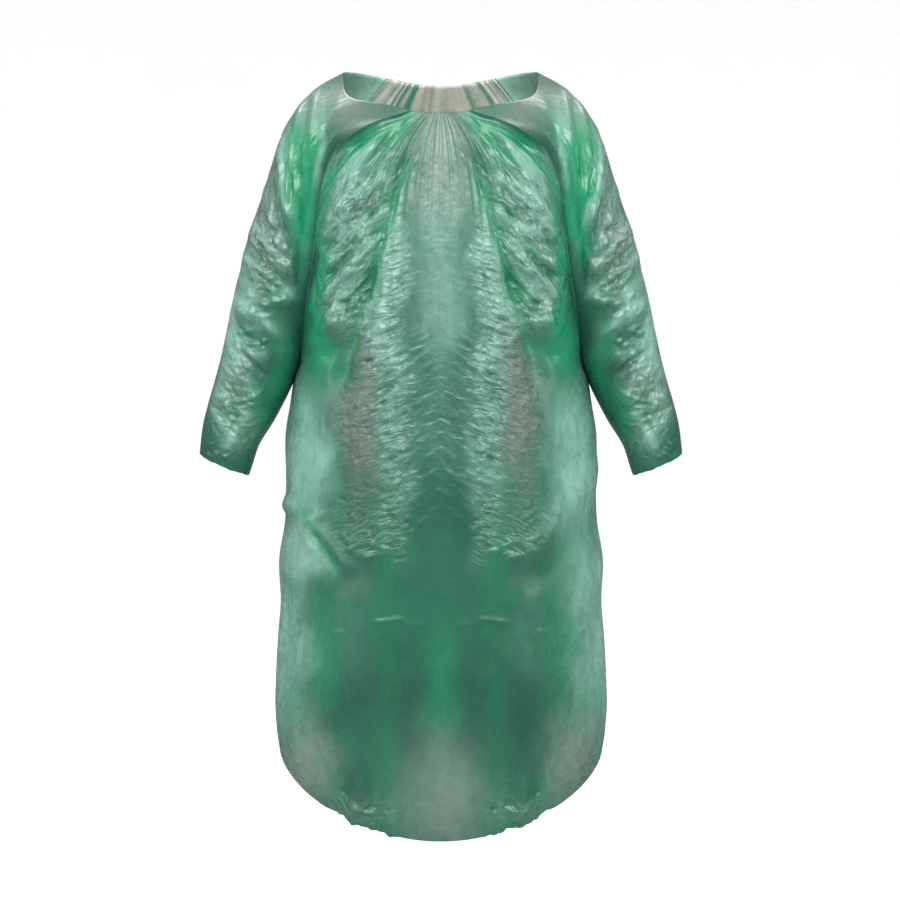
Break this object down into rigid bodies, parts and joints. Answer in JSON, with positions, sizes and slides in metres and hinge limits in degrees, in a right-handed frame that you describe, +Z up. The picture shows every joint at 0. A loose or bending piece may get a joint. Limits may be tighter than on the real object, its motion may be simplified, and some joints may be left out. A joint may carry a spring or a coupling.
{
  "type": "sleeved apron",
  "caption": "Knee-length protective film apron with long raglan sleeves, gathered into a wide round neck, filled out as worn and open at neck, cuffs and hem.",
  "frame": {"origin": "middle of the neck on the wearer's shoulder line, where the garment is held up", "axes": "+Z up along the garment's length, the front faces -Y, the wearer's left is towards +X"},
  "size_m": [0.7532, 0.3539, 1.1605],
  "materials": {
    "front_film": "thin crinkled green polyethylene film, shiny and slightly see-through",
    "back_film": "thin crinkled green polyethylene film, shiny and slightly see-through",
    "sleeve_film": "thin crinkled green polyethylene film, shiny and slightly see-through"
  },
  "bodies": {
    "root": {"front_panel": "front_film", "back_panel": "back_film", "sleeve_right": "sleeve_film", "sleeve_left": "sleeve_film"}
  },
  "joints": []
}
